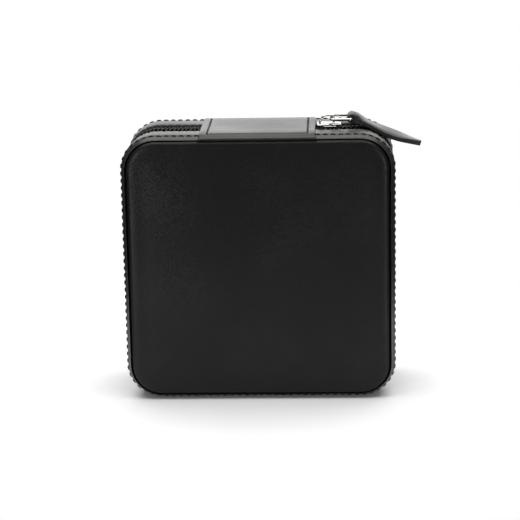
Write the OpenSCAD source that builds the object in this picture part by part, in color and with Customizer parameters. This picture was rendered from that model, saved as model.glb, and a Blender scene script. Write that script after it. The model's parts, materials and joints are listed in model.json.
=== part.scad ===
// Zip-around leather jewellery case: two equal halves on a leather hinge.
// Each half is a moulded frame closed by a board, padded and covered in leather.
// Millimetres, standing on its edge: +Z runs up to the hinge edge, -Y out of the lid,
// and the origin is the centre of the rear panel, which is the face it is laid on.

/* [Case] */
// Width and height of the case over the leather
case_w = 100; // [90:1:120]
// Depth of the closed case, rear leather to lid leather
case_d = 40; // [38:1:50]
// Outer corner radius seen from the front
corner_r = 13; // [12:0.5:16]
// Gap between the two leather bands, which the zip closes
zip_gap = 13; // [12.6:0.1:14]

/* [Shell] */
// Thickness of the leather band at the zip edge
band_t = 1.9; // [1.8:0.1:2.2]
// Wall thickness of the moulded frames
frame_t = 3.2; // [3:0.1:4]
// Thickness of the stiffening boards under the panels
board_t = 1.5; // [1:0.1:2]
// Thickness of the foam under the leather panels
foam_t = 0.9; // [0.6:0.1:1]
// Thickness of the panel leather
leather_t = 0.9; // [0.7:0.1:1]
// Thickness of the suede lining
lining_t = 0.6; // [0.4:0.1:0.8]
// Width of the groove between each panel and its band
groove_w = 0.7; // [0.5:0.1:1]

/* [Hinge] */
// Width of the leather hinge panel
hinge_w = 42.4; // [36:0.2:48]
// Thickness of the hinge leather
hinge_t = 0.65; // [0.5:0.05:0.8]

/* [Zip] */
// Width of the zip chain, both coils together
chain_w = 6; // [5:0.1:6.2]
// Thickness of each coil above its tape
coil_t = 1.4; // [1.4:0.1:1.6]
// Thickness of the woven tape
tape_t = 0.5; // [0.4:0.1:0.6]
// Length of the slider
slider_l = 9; // [8:0.5:9.5]
// Width of the slider
slider_w = 8.8; // [8.4:0.1:8.8]

/* [Pull] */
// Wire diameter of the pull link
wire_d = 1.1; // [1:0.1:1.2]
// Width of the pull link
link_w = 8.5; // [8:0.1:8.6]
// Length of the pull link between its bar centres
link_l = 7.8; // [7:0.1:8.2]
// Width of the leather strap
strap_w = 8.7; // [8:0.1:8.8]
// Thickness of the folded strap
strap_t = 1.8; // [1.8:0.1:2.2]

/* [Inside] */
// Number of ring rolls
ring_rolls = 4; // [4:1:4]
// Spacing of the ring rolls
roll_pitch = 14.2; // [12:0.1:14.2]
// Thickness of the compartment dividers
divider_t = 2; // [1.5:0.1:3]
// Width of the mirror glass
mirror_w = 72; // [50:1:76]
// Height of the mirror glass
mirror_h = 42; // [30:1:44]

/* [Hidden] */
$fn = 64;

// Two distances place everything in a half: n, outwards from the case's middle
// to the wall, and t, from the zip plane towards the half's own face.
half_w = case_w / 2;
half_d = case_d / 2;
arc_c = half_w - corner_r;

// Wall, from the leather inwards
seat_n = half_w - band_t;             // band on tape
frame_n = seat_n - tape_t;            // tape on frame
wall_n = frame_n - frame_t;           // frame on lining
inner_n = wall_n - lining_t;          // free space
lip_t = 0.8;
lip_n = wall_n + lip_t;               // the base frame's raised lip
panel_n = half_w - 1.75 - groove_w / 2; // edge of the leather panels
lip_front_n = panel_n + groove_w;     // band's edge at the groove
foam_n = panel_n - 1.15;

// Half, from the zip plane to the face
rim_t = zip_gap / 2;
rim_gap = 0.3;                        // base rim to the zip plane
hem_t = rim_t + 3;                    // tape ends under the band
leather_in = half_d - leather_t;
board_out = leather_in - foam_t;
board_in = board_out - board_t;
floor_t = board_in - lining_t;

// Band outline
edge_r = 0.7;
crest_end = rim_t + 2.1;
stitch_t = 16.2;
stitch_w = 0.8;
stitch_h = 0.35;
stitch_n = half_w - 0.6;
band_end = half_d - 0.5;
band_lip_n = half_w - 1;
lip_r = band_lip_n - lip_front_n;

// Hinge
hinge_gap = 0.05;
hinge_stitch_t = 16.3;
hinge_n = half_w + hinge_t;
hinge_in_n = half_w - lining_t;
hinge_face_t = half_d - 0.02;
lining_w = hinge_w - 4;
thread_h = 0.3;
thread_w = 0.6;

// Zip
tape_edge = 0.9;
coil_gap = 0.05;
coil_bevel = 0.4;
tape_end_x = lining_w / 2 + 0.2;
slider_x = hinge_w / 2 + 0.4;
post_l = 2.3;
coil_end_x = slider_x + post_l + 0.9;
soft_end = 30;                        // the loose stretch ends here on the corner's arc
coil_n = seat_n + coil_t;
plate_top = coil_n + 0.25;
plate_t = 0.95;
plate_low = frame_n - 0.3;
plate_low_t = 1.1;
flange_t = 1;
post_w = 1.1;
bridge_w = 3;
bridge_t = 0.8;
bridge_l = 5.7;

// Pull
wire_r = wire_d / 2;
bar_z = plate_top + plate_t + 2;
bar_x = slider_x + 5.2;
far_x = bar_x + link_l;
link_r = 1.1;
fit = 0.08;
fold_t = strap_t / 2;
fold_r = wire_r + fit + fold_t;
neck_w = link_w - 2 * wire_d - 0.6;
neck_l = 2.4;
strap_start = [far_x + 0.95, bar_z - 0.2];
strap_bend = [far_x + 13.5, bar_z - 6.2];
strap_tip = [far_x + 25.2, bar_z - 9.5];

// Inside
clear = 0.1;
divider_in = 3;
roll_h = 12;
rolls_top = inner_n - 0.5;
rolls_bottom = rolls_top - ring_rolls * roll_pitch;
pocket_bottom = 8;
pocket_n = inner_n - 1.8;
pocket_t = 0.8;
pocket_in = floor_t - 5.3;
elastic_w = 2.2;
mirror_t = 1.5;
mirror_y = -19.5;
mirror_r = 4;
surround_w = 3;
surround_t = 0.6;

black = "#1c1c1e";
charcoal = "#2b2b2e";
suede = "#4a4a4f";
thread = "#303034";
steel = "#c9cacc";

// ---- Helpers ----

function arc(c, r, a0, a1, steps = 6) =
    [for (i = [0:steps]) let(a = a0 + (a1 - a0) * i / steps) c + r * [cos(a), sin(a)]];
function bend(a, b, c, u) = pow(1 - u, 2) * a + 2 * u * (1 - u) * b + u * u * c;
function bend_dir(a, b, c, u) = let(d = 2 * (1 - u) * (b - a) + 2 * u * (c - b)) d / norm(d);
function across(d) = [-d[1], d[0]];

// Case pieces are drawn lying on the rear face, hinge towards +Y, and stood up here.
module stood() rotate([90, 0, 0]) children();
// Height over the rear face of a distance t into each half
module base_half() translate([0, 0, half_d]) mirror([0, 0, 1]) children();
module lid_half() translate([0, 0, half_d]) children();
// Pieces on the zip are drawn over the zip plane, with Z as n.
module on_zip() translate([0, -half_d, 0]) children();

module rounded(w, h, r) {
    square([w, h - 2 * r], center = true);
    square([w - 2 * r, h], center = true);
    for (sx = [-1, 1], sy = [-1, 1])
        translate([sx * (w / 2 - r), sy * (h / 2 - r)])
            circle(r);
}

// The case outline at distance n, from t0 to t1
module slab(n, t0, t1)
    translate([0, 0, t0])
        linear_extrude(t1 - t0)
            rounded(2 * n, 2 * n, n - arc_c);

module hoop(n_out, n_in, t0, t1)
    difference() {
        slab(n_out, t0, t1);
        slab(n_in, t0 - 1, t1 + 1);
    }

// A section of [n, t] points run along side i: 0 right, 1 hinge edge, 2 left, 3 foot
module side(section, i, from = -arc_c, to = arc_c)
    rotate([0, 0, 90 * i])
        translate([0, to, 0])
            rotate([90, 0, 0])
                linear_extrude(to - from)
                    polygon(section);

// The same section round corner i: 0 is between sides 0 and 1
module corner(section, i, a0 = 0, a1 = 90)
    rotate([0, 0, 90 * i])
        translate([arc_c, arc_c, 0])
            rotate([0, 0, a0])
                rotate_extrude(angle = a1 - a0)
                    translate([-arc_c, 0])
                        polygon(section);

module all_round(section)
    for (i = [0:3]) {
        side(section, i);
        corner(section, i);
    }

// Round the case from angle a0 of the first corner to x1, left of the hinge
module zip_run(section, a0, x1) {
    corner(section, 0, 0, a0);
    for (i = [0, 2, 3])
        side(section, i);
    for (i = [1:3])
        corner(section, i);
    side(section, 1, x1, arc_c);
}

// From x0, right of the hinge, to angle a0 of the first corner
module zip_end(section, x0, a0) {
    side(section, 1, -arc_c, -x0);
    corner(section, 0, a0, 90);
}

// ---- Sections ----

band_crest = concat(
    arc([half_w - edge_r, rim_t + edge_r], edge_r, -90, 0),
    [[half_w, crest_end]]);
band_front = arc([band_lip_n - lip_r, band_end - lip_r], lip_r, 0, 90);
stitch_channel = [
    [stitch_n, stitch_t - stitch_w / 2],
    [stitch_n - stitch_h, stitch_t - stitch_w / 2],
    [stitch_n - stitch_h, stitch_t + stitch_w / 2],
    [stitch_n, stitch_t + stitch_w / 2]];
band_section = concat(
    [[seat_n, rim_t]],
    band_crest,
    stitch_channel,
    band_front,
    [[lip_front_n, board_out], [frame_n, board_out], [frame_n, hem_t], [seat_n, hem_t]]);
tape_section = [[frame_n, tape_edge], [seat_n, tape_edge], [seat_n, hem_t], [frame_n, hem_t]];
coil_section = [
    [seat_n, coil_gap], [coil_n - coil_bevel, coil_gap], [coil_n, coil_gap + coil_bevel],
    [coil_n, chain_w / 2 - coil_bevel], [coil_n - coil_bevel, chain_w / 2], [seat_n, chain_w / 2]];
hinge_section = concat(
    [[half_w, hinge_gap], [half_w, crest_end], stitch_channel[0], stitch_channel[3]],
    band_front, [
        [lip_front_n, hinge_face_t], [band_lip_n, hinge_face_t - 0.1],
        [band_lip_n + hinge_t, band_end - lip_r],
        [stitch_n + hinge_t, hinge_stitch_t + thread_w / 2],
        [stitch_n + hinge_t - thread_h, hinge_stitch_t + thread_w / 2],
        [stitch_n + hinge_t - thread_h, hinge_stitch_t - thread_w / 2],
        [stitch_n + hinge_t, hinge_stitch_t - thread_w / 2],
        [hinge_n, crest_end], [hinge_n, hinge_gap]
    ]);
hinge_lining_section = [
    [hinge_in_n, hinge_gap], [half_w, hinge_gap], [half_w, rim_t], [seat_n, rim_t],
    [seat_n, rim_t - lining_t], [hinge_in_n, rim_t - lining_t]];

// ---- Pieces that both halves have ----

module frame_wall() hoop(frame_n, wall_n, rim_t, board_in);

module board() slab(frame_n, board_in, board_out);

module padding() slab(foam_n, board_out, leather_in);

module panel()
    difference() {
        slab(panel_n, board_out, half_d);
        slab(foam_n, board_out - 1, leather_in);
    }

module band() all_round(band_section);

module band_stitching()
    hoop(stitch_n, stitch_n - stitch_h, stitch_t - stitch_w / 2, stitch_t + stitch_w / 2);

module hinge_panel() side(hinge_section, 1, -hinge_w / 2, hinge_w / 2);

module hinge_lining() side(hinge_lining_section, 1, -lining_w / 2, lining_w / 2);

module hinge_stitching()
    translate([-hinge_w / 2 + 3, stitch_n + hinge_t - thread_h, hinge_stitch_t - thread_w / 2])
        cube([hinge_w - 6, thread_h, thread_w]);

module tray_floor() slab(wall_n, floor_t, board_in);

// ---- Base ----

module base_frame() color("#5a5a5c") stood() base_half() {
    frame_wall();
    hoop(lip_n, wall_n, rim_gap + lining_t, rim_t);
}

module base_board() color("#8c8272") stood() base_half() board();

module base_padding() color("#d8d5cc") stood() base_half() padding();

module base_panel() color(black) stood() base_half() panel();

module base_band() color(black) stood() base_half() band();

module base_band_stitching() color(thread) stood() base_half() band_stitching();

// The suede climbs the raised lip, turns over it and comes down to the tape.
module base_lining() color(suede) stood() base_half() {
    tray_floor();
    hoop(wall_n, inner_n, rim_gap + lining_t, floor_t);
    hoop(lip_n + lip_t / 2, inner_n, rim_gap, rim_gap + lining_t);
    hoop(lip_n + lip_t / 2, lip_n, rim_gap + lining_t, rim_t);
    hoop(frame_n, lip_n + lip_t / 2, rim_t - lining_t, rim_t);
}

module base_zip_tape() color(charcoal) stood() base_half() {
    zip_run(tape_section, soft_end, tape_end_x);
    zip_end(tape_section, tape_end_x, soft_end);
}

module base_zip_coil() color(charcoal) stood() base_half()
    zip_run(coil_section, soft_end, tape_end_x + 0.4);

module base_coil_end() color(charcoal) stood() base_half()
    zip_end(coil_section, coil_end_x, soft_end);

module base_hinge_panel() color(black) stood() base_half() hinge_panel();

module base_hinge_lining() color(suede) stood() base_half() hinge_lining();

module base_hinge_stitching() color(thread) stood() base_half() hinge_stitching();

// A divider standing on the tray's floor, from corner p to corner q of its plan
module divider(p, q)
    color(suede) stood() base_half()
        intersection() {
            slab(inner_n - clear, divider_in, floor_t);
            translate([p[0], p[1], divider_in])
                cube([q[0] - p[0], q[1] - p[1], floor_t - divider_in]);
        }

module divider_long() divider([-divider_t / 2, -half_w], [divider_t / 2, half_w]);

module divider_left()
    divider([-half_w, rolls_bottom - divider_t - clear], [-divider_t / 2, rolls_bottom - clear]);

module divider_right() divider([divider_t / 2, -divider_t / 2], [half_w, divider_t / 2]);

// Foam roll with a round top, standing on the tray's floor
module ring_roll(i) {
    r = roll_pitch / 2 - 0.2;
    y = rolls_top - (i - 0.5) * roll_pitch;
    color(suede) stood() base_half()
        intersection() {
            slab(inner_n - 0.4, 1, floor_t);
            translate([-half_w, y, 0])
                rotate([90, 0, 90])
                    linear_extrude(half_w - divider_t / 2 - 0.4) {
                        translate([0, floor_t - roll_h + r])
                            circle(r);
                        translate([-r, floor_t - roll_h + r])
                            square([2 * r, roll_h - r]);
                    }
        }
}

module ring_roll_1() ring_roll(1);

module ring_roll_2() ring_roll(2);

module ring_roll_3() ring_roll(3);

module ring_roll_4() ring_roll(4);

// ---- Lid ----

module lid_frame() color("#5a5a5c") stood() lid_half() frame_wall();

module lid_board() color("#8c8272") stood() lid_half() board();

module lid_padding() color("#d8d5cc") stood() lid_half() padding();

module lid_panel() color(black) stood() lid_half() panel();

module lid_band() color(black) stood() lid_half() band();

module lid_band_stitching() color(thread) stood() lid_half() band_stitching();

module lid_lining() color(suede) stood() lid_half() {
    tray_floor();
    hoop(wall_n, inner_n, rim_t, floor_t);
    hoop(frame_n, inner_n, rim_t - lining_t, rim_t);
}

module lid_zip_tape() color(charcoal) stood() lid_half()
    zip_run(tape_section, soft_end, tape_end_x);

module lid_tape_end() color(charcoal) stood() lid_half()
    zip_end(tape_section, tape_end_x, soft_end);

module lid_zip_coil() color(charcoal) stood() lid_half()
    zip_run(coil_section, soft_end, tape_end_x + 0.4);

module lid_coil_end() color(charcoal) stood() lid_half()
    zip_end(coil_section, coil_end_x, soft_end);

module lid_hinge_panel() color(black) stood() lid_half() hinge_panel();

module lid_hinge_lining() color(suede) stood() lid_half() hinge_lining();

module lid_hinge_stitching() color(thread) stood() lid_half() hinge_stitching();

module mirror_block(grow, t0, t1)
    translate([0, mirror_y, t0])
        linear_extrude(t1 - t0)
            rounded(mirror_w + 2 * grow, mirror_h + 2 * grow, mirror_r + grow);

module mirror_pane()
    color("#cfd6da") stood() lid_half() mirror_block(0, floor_t - mirror_t, floor_t);

module mirror_surround()
    color(suede) stood() lid_half()
        difference() {
            mirror_block(surround_w, floor_t - mirror_t - surround_t, floor_t);
            mirror_block(clear, floor_t - mirror_t, floor_t + 1);
            mirror_block(-2, floor_t - mirror_t - 1, floor_t);
        }

// Flat pocket: a front panel with side and end gussets, open away from the hinge
module lid_pocket()
    color(suede) stood() lid_half()
        difference() {
            intersection() {
                slab(pocket_n, pocket_in, floor_t);
                translate([-half_w, pocket_bottom, 0])
                    cube([case_w, half_w, half_d]);
            }
            intersection() {
                slab(pocket_n - pocket_t, pocket_in + pocket_t, floor_t + 1);
                translate([-half_w, pocket_bottom - 1, 0])
                    cube([case_w, half_w, half_d]);
            }
        }

module pocket_elastic()
    color(charcoal) stood() lid_half()
        translate([-pocket_n, pocket_bottom - elastic_w, pocket_in])
            cube([2 * pocket_n, elastic_w, pocket_t + 0.2]);

// ---- Zip slider and pull ----

// Slider: two plates on a post, side flanges, and a bridge that holds the link
module slider_body()
    color(steel) on_zip() {
        for (z = [[plate_top, plate_t], [plate_low - plate_low_t, plate_low_t]])
            translate([slider_x + slider_l / 2, 0, z[0]])
                linear_extrude(z[1])
                    rounded(slider_l, slider_w, 1.5);
        for (s = [-1, 1])
            translate([slider_x + 2, s * (slider_w - flange_t) / 2 - flange_t / 2, seat_n + 0.3])
                cube([slider_l - 3.5, flange_t, plate_top - seat_n - 0.2]);
        translate([slider_x + 0.4, -post_w / 2, plate_low - 0.1])
            cube([post_l, post_w, plate_top - plate_low + 0.2]);
        translate([0, bridge_w / 2, 0])
            rotate([90, 0, 0])
                linear_extrude(bridge_w)
                    difference() {
                        bridge_side(0);
                        bridge_side(bridge_t);
                    }
    }

// Side view of the bridge: a sloping back and a rounded front over the link's bar
module bridge_side(inset) {
    foot = plate_top + plate_t - 0.1;
    front = bar_x + wire_r + fit + bridge_t - inset;
    top = bar_z + wire_r + fit + bridge_t - inset;
    back = front - bridge_l + 2 * inset;
    r = 1.6 - inset;
    polygon(concat(
        [[back, foot]],
        arc([back + 2.4, top - 2.4], 2.4 - 0.3 * inset, 180, 90),
        arc([front - r, top - r], r, 90, 0),
        [[front, foot]]));
}

// Wire link: two long and two short bars on quarter rings
module link_wire()
    color(steel) on_zip()
        for (s = [-1, 1]) {
            w = link_w / 2 - wire_r;
            translate([bar_x + link_r, s * w, bar_z])
                rotate([0, 90, 0])
                    cylinder(h = link_l - 2 * link_r, r = wire_r);
            translate([s > 0 ? far_x : bar_x, link_r - w, bar_z])
                rotate([-90, 0, 0])
                    cylinder(h = 2 * (w - link_r), r = wire_r);
            for (x = [bar_x + link_r, far_x - link_r])
                translate([x, s * (w - link_r), bar_z])
                    rotate([0, 0, x > bar_x + link_l / 2 ? (s > 0 ? 0 : 270) : (s > 0 ? 90 : 180)])
                        rotate_extrude(angle = 90)
                            translate([link_r, 0])
                                circle(wire_r);
        }

// Side view of the strap from share u0 to u1 of its length
module strap_side(u0, u1) {
    steps = 12;
    us = [for (i = [0:steps]) u0 + (u1 - u0) * i / steps];
    function edge(u, s) =
        bend(strap_start, strap_bend, strap_tip, u)
        + s * strap_t / 2 * across(bend_dir(strap_start, strap_bend, strap_tip, u));
    polygon(concat(
        [for (u = us) edge(u, 1)],
        [for (i = [steps:-1:0]) edge(us[i], -1)]));
}

module across_zip(w)
    translate([0, w / 2, 0])
        rotate([90, 0, 0])
            linear_extrude(w)
                children();

// Leather folded round the link's far bar, then flat to the tip
module pull_strap() {
    wide_from = neck_l / norm(strap_tip - strap_start);
    color(black) on_zip()
        difference() {
            union() {
                across_zip(neck_w) {
                    translate([far_x, bar_z])
                        circle(fold_r);
                    strap_side(0, wide_from + 0.02);
                }
                across_zip(strap_w)
                    strap_side(wide_from, 1);
            }
            translate([far_x, link_w, bar_z])
                rotate([90, 0, 0])
                    cylinder(h = 2 * link_w, r = wire_r + fit);
        }
}

base_frame();
base_board();
base_padding();
base_panel();
base_band();
base_band_stitching();
base_lining();
base_zip_tape();
base_zip_coil();
base_coil_end();
base_hinge_panel();
base_hinge_lining();
base_hinge_stitching();
divider_long();
divider_left();
divider_right();
ring_roll_1();
ring_roll_2();
ring_roll_3();
ring_roll_4();
lid_frame();
lid_board();
lid_padding();
lid_panel();
lid_band();
lid_band_stitching();
lid_lining();
lid_zip_tape();
lid_tape_end();
lid_zip_coil();
lid_coil_end();
lid_hinge_panel();
lid_hinge_lining();
lid_hinge_stitching();
mirror_pane();  // mirror
mirror_surround();
lid_pocket();
pocket_elastic();
slider_body();
link_wire();
pull_strap();
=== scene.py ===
"""Looks of a zip-around leather jewellery case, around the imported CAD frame.

Lengths are written in millimetres and turned into metres where a mesh is made.
Inside one half, n is the distance outwards from the case's middle line and t the
distance from the zip plane towards that half's own face. LID and BASE are the two
directions of t along Y.
"""
import json
import math

import bmesh
import bpy
import numpy as np
from mathutils import Matrix, Vector


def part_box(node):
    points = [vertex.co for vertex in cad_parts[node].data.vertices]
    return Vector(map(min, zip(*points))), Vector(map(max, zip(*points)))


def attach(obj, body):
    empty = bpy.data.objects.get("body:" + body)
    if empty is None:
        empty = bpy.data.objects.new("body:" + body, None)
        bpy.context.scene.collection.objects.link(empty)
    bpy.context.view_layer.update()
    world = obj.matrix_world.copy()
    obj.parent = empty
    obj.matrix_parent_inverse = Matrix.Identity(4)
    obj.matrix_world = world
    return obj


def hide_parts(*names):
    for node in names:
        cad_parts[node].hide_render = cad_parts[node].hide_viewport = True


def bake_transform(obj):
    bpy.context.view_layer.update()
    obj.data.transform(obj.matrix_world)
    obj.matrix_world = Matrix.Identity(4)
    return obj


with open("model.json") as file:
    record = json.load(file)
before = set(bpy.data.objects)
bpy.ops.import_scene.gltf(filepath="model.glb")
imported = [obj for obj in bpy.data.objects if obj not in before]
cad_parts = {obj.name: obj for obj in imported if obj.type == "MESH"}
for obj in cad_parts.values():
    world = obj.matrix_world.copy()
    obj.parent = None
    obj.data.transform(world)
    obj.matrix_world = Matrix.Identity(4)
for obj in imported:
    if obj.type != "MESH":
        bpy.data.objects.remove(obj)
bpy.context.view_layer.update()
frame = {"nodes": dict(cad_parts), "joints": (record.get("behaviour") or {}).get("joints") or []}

MM = 0.001
LID, BASE = -1, 1


def box_mm(node):
    low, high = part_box(node)
    return np.array(low) / MM, np.array(high) / MM


# ---------------------------------------------------------------- the frame's sizes
band_low, band_high = box_mm("lid_band")
panel_low, panel_high = box_mm("lid_panel")
HALF_W = (band_high[0] - band_low[0]) / 2
DEPTH = -panel_low[1]
ZIP_Y = -DEPTH / 2
HALF_D = DEPTH / 2
RIM_T = ZIP_Y - band_high[1]
BAND_END = ZIP_Y - band_low[1]
PANEL_N = (panel_high[0] - panel_low[0]) / 2
CORNER_R = 13.0
ARC_C = HALF_W - CORNER_R
tape_low, tape_high = box_mm("lid_zip_tape")
SEAT_N = (tape_high[0] - tape_low[0]) / 2
TAPE_N = SEAT_N - 0.5
coil_low, coil_high = box_mm("lid_zip_coil")
COIL_N = (coil_high[0] - coil_low[0]) / 2
hinge_low, hinge_high = box_mm("lid_hinge_panel")
HINGE_W = hinge_high[0] - hinge_low[0]
stitch_low, stitch_high = box_mm("lid_band_stitching")
STITCH_T = ZIP_Y - (stitch_low[1] + stitch_high[1]) / 2
STITCH_N = (stitch_high[0] - stitch_low[0]) / 2
STITCH_PITCH = 2.75
joints = {j["name"]: j for j in frame["joints"]}
LINK_X, _, LINK_Z = [v / MM for v in joints["link_swing"]["pos_m"]]
FAR_X = joints["strap_swing"]["pos_m"][0] / MM
FLOOR_Z = -HALF_W


# ---------------------------------------------------------------- mesh helpers
def smoothstep(x, low, high):
    u = np.clip((x - low) / (high - low), 0, 1)
    return u * u * (3 - 2 * u)


def bump(x, width):
    return np.exp(-((x / width) ** 2))


def quarter_round(share):
    """Height of a rounded edge: 0 at share 0, 1 from share 1 on."""
    return np.sqrt(np.clip(1 - (1 - np.clip(share, 0, 1)) ** 2, 0, 1))


def unit(vectors):
    return vectors / np.linalg.norm(vectors, axis=-1)[..., None]


def upright(line):
    """Unit normals of a line in a plane, a quarter turn from the way it runs."""
    along = unit(np.gradient(line, axis=0))
    return np.stack([-along[:, 1], along[:, 0]], axis=1)


def spline(points, steps):
    """A smooth curve through points, with steps stretches between each two."""
    p = np.array(points, float)
    p = np.vstack([2 * p[0] - p[1], p, 2 * p[-1] - p[-2]])
    u = np.arange(steps)[:, None] / steps
    rows = []
    for a, b, c, d in zip(p, p[1:], p[2:], p[3:]):
        rows.append(0.5 * (2 * b + (c - a) * u + (2 * a - 5 * b + 4 * c - d) * u ** 2
                           + (3 * b - a - 3 * c + d) * u ** 3))
    return np.vstack([*rows, p[-2][None]])


def resample(points, step):
    """The same line with evenly spaced points about step apart."""
    p = np.array(points, float)
    length = np.r_[0, np.cumsum(np.linalg.norm(np.diff(p, axis=0), axis=1))]
    at = np.linspace(0, length[-1], max(2, round(length[-1] / step) + 1))
    return np.stack([np.interp(at, length, p[:, k]) for k in range(p.shape[1])], axis=1)


def grid_faces(rows, cols, close_rows=False, close_cols=False, offset=0):
    i = np.arange(rows if close_rows else rows - 1)
    j = np.arange(cols if close_cols else cols - 1)
    i, j = [a.ravel() for a in np.meshgrid(i, j, indexing="ij")]
    i2, j2 = (i + 1) % rows, (j + 1) % cols
    quads = np.stack([i * cols + j, i2 * cols + j, i2 * cols + j2, i * cols + j2], axis=1)
    return (quads + offset).tolist()


def put(name, data):
    """A new object in the scene."""
    obj = bpy.data.objects.new(name, data)
    bpy.context.scene.collection.objects.link(obj)
    return obj


def make(name, verts_mm, faces, smooth=True, outward=True):
    mesh = bpy.data.meshes.new(name)
    mesh.from_pydata((np.asarray(verts_mm, float) * MM).tolist(), [], faces)
    if outward:
        bm = bmesh.new()
        bm.from_mesh(mesh)
        bmesh.ops.remove_doubles(bm, verts=bm.verts, dist=1e-7)
        bmesh.ops.recalc_face_normals(bm, faces=bm.faces)
        bm.to_mesh(mesh)
        bm.free()
    mesh.polygons.foreach_set("use_smooth", [smooth] * len(mesh.polygons))
    mesh.update()
    return put(name, mesh)


class Shape:
    """Vertices and faces gathered from several surfaces of one piece."""

    def __init__(self):
        self.verts, self.faces = [], []

    def add(self, verts, faces):
        start = len(self.verts)
        self.verts += np.asarray(verts, float).tolist()
        self.faces += [[v + start for v in f] for f in faces]

    def grid(self, points, close_rows=False, close_cols=False, caps=False):
        """points[i][j] is a row i, column j of a quad surface."""
        points = np.asarray(points, float)
        rows, cols = points.shape[:2]
        faces = grid_faces(rows, cols, close_rows, close_cols)
        if caps:
            faces += [list(range(cols))[::-1], list(range((rows - 1) * cols, rows * cols))]
        self.add(points.reshape(-1, 3), faces)

    def tube(self, line, radius, sides=8, closed=False, up=(0, 0, 1)):
        """A tube round a line of points. radius is a number or one for each point."""
        line = np.asarray(line, float)
        along = np.roll(line, -1, 0) - np.roll(line, 1, 0) if closed else np.gradient(line, axis=0)
        along = unit(along)
        side = np.cross(along, np.broadcast_to(up, along.shape))
        weak = np.linalg.norm(side, axis=1) < 1e-3
        side[weak] = np.cross(along[weak], (0.3, 1, 0.2))
        side = unit(side)
        top = np.cross(side, along)
        r = np.broadcast_to(np.asarray(radius, float), (len(line),))[:, None, None]
        a = np.arange(sides) * 2 * math.pi / sides
        ring = np.cos(a)[None, :, None] * side[:, None] + np.sin(a)[None, :, None] * top[:, None]
        self.grid(line[:, None] + r * ring, close_rows=closed, close_cols=True, caps=not closed)

    def build(self, name, **how):
        return make(name, self.verts, self.faces, **how)


def apply_modifiers(obj):
    bpy.context.view_layer.update()
    done = bpy.data.meshes.new_from_object(obj.evaluated_get(bpy.context.evaluated_depsgraph_get()))
    obj.modifiers.clear()
    obj.data = done


def closed_piece(rows, name, **how):
    """A piece that is one closed tube of rings with capped ends."""
    shape = Shape()
    shape.grid(rows, close_cols=True, caps=True)
    return shape.build(name, **how)


def thick_sheet(rows, name, thickness, offset=0):
    """An open surface of quads, given a thickness in mm."""
    shape = Shape()
    shape.grid(rows)
    obj = shape.build(name, outward=False)
    if offset and obj.data.polygons[len(obj.data.polygons) // 2].normal.z < 0:
        obj.data.flip_normals()
    solid = obj.modifiers.new("thickness", "SOLIDIFY")
    solid.thickness = thickness * MM
    solid.offset = offset
    apply_modifiers(obj)
    return obj


# ---------------------------------------------------------------- paths round the case
CORNERS = [(1, 1, 0), (-1, 1, 90), (-1, -1, 180), (1, -1, 270)]


def place(p0, normal, n, t, half):
    """Points of the case at distances n and t, from a path's own points and normals."""
    out = p0 + (np.asarray(n) - ARC_C)[..., None] * normal
    y = ZIP_Y + half * np.asarray(t) * np.ones(out.shape[:-1])
    return np.stack([out[..., 0], y, out[..., 1]], axis=-1)


def outline(step, at_n, per_side=0, per_arc=0):
    """The whole outline from the hinge edge's right end clockwise: points on the square of
    arc centres, normals, and lengths measured at distance at_n."""
    r = at_n - ARC_C
    points, normals, lengths, run = [], [], [], 0.0
    per_side = per_side or max(2, round(2 * ARC_C / step))
    per_arc = per_arc or max(3, round(r * math.pi / 2 / step))
    for sx, sz, start in [(1, 1, 90), (1, -1, 0), (-1, -1, -90), (-1, 1, 180)]:
        centre = np.array([sx, sz]) * ARC_C
        for k in range(per_arc):
            a = math.radians(start - 90 * k / per_arc)
            points.append(centre)
            normals.append((math.cos(a), math.sin(a)))
            lengths.append(run + r * math.pi / 2 * k / per_arc)
        run += r * math.pi / 2
        a = math.radians(start - 90)
        normal = np.array([math.cos(a), math.sin(a)])
        ahead = np.array([normal[1], -normal[0]])
        for k in range(per_side):
            points.append(centre + ahead * 2 * ARC_C * k / per_side)
            normals.append(normal)
            lengths.append(run + 2 * ARC_C * k / per_side)
        run += 2 * ARC_C
    return np.array(points), np.array(normals), np.array(lengths), run


def part_of(path, keep):
    """The stretch of an outline where keep is true, in walking order, as an open path."""
    points, normals, lengths, total = path
    index = np.flatnonzero(keep)
    jump = np.flatnonzero(np.diff(index) > 1)
    if len(jump):
        index = np.r_[index[jump[0] + 1:], index[:jump[0] + 1]]
    along = lengths[index].copy()
    along[along < along[0]] += total
    return points[index], normals[index], along, total


def along_path(path, at):
    """Points and normals of a path at given lengths."""
    points, normals, lengths, _ = path
    where, out = (np.stack([np.interp(at, lengths, v[:, k]) for k in (0, 1)], axis=1)
                  for v in (points, normals))
    return where, unit(out)


def sweep(shape, path, section, half, closed, caps=False):
    """section(lengths) gives n and t for each path point and section point."""
    points, normals, lengths, _ = path
    n, t = section(lengths)
    rows = place(points[:, None], normals[:, None], n, t, half)
    shape.grid(rows, close_rows=closed, close_cols=True, caps=caps)


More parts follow.
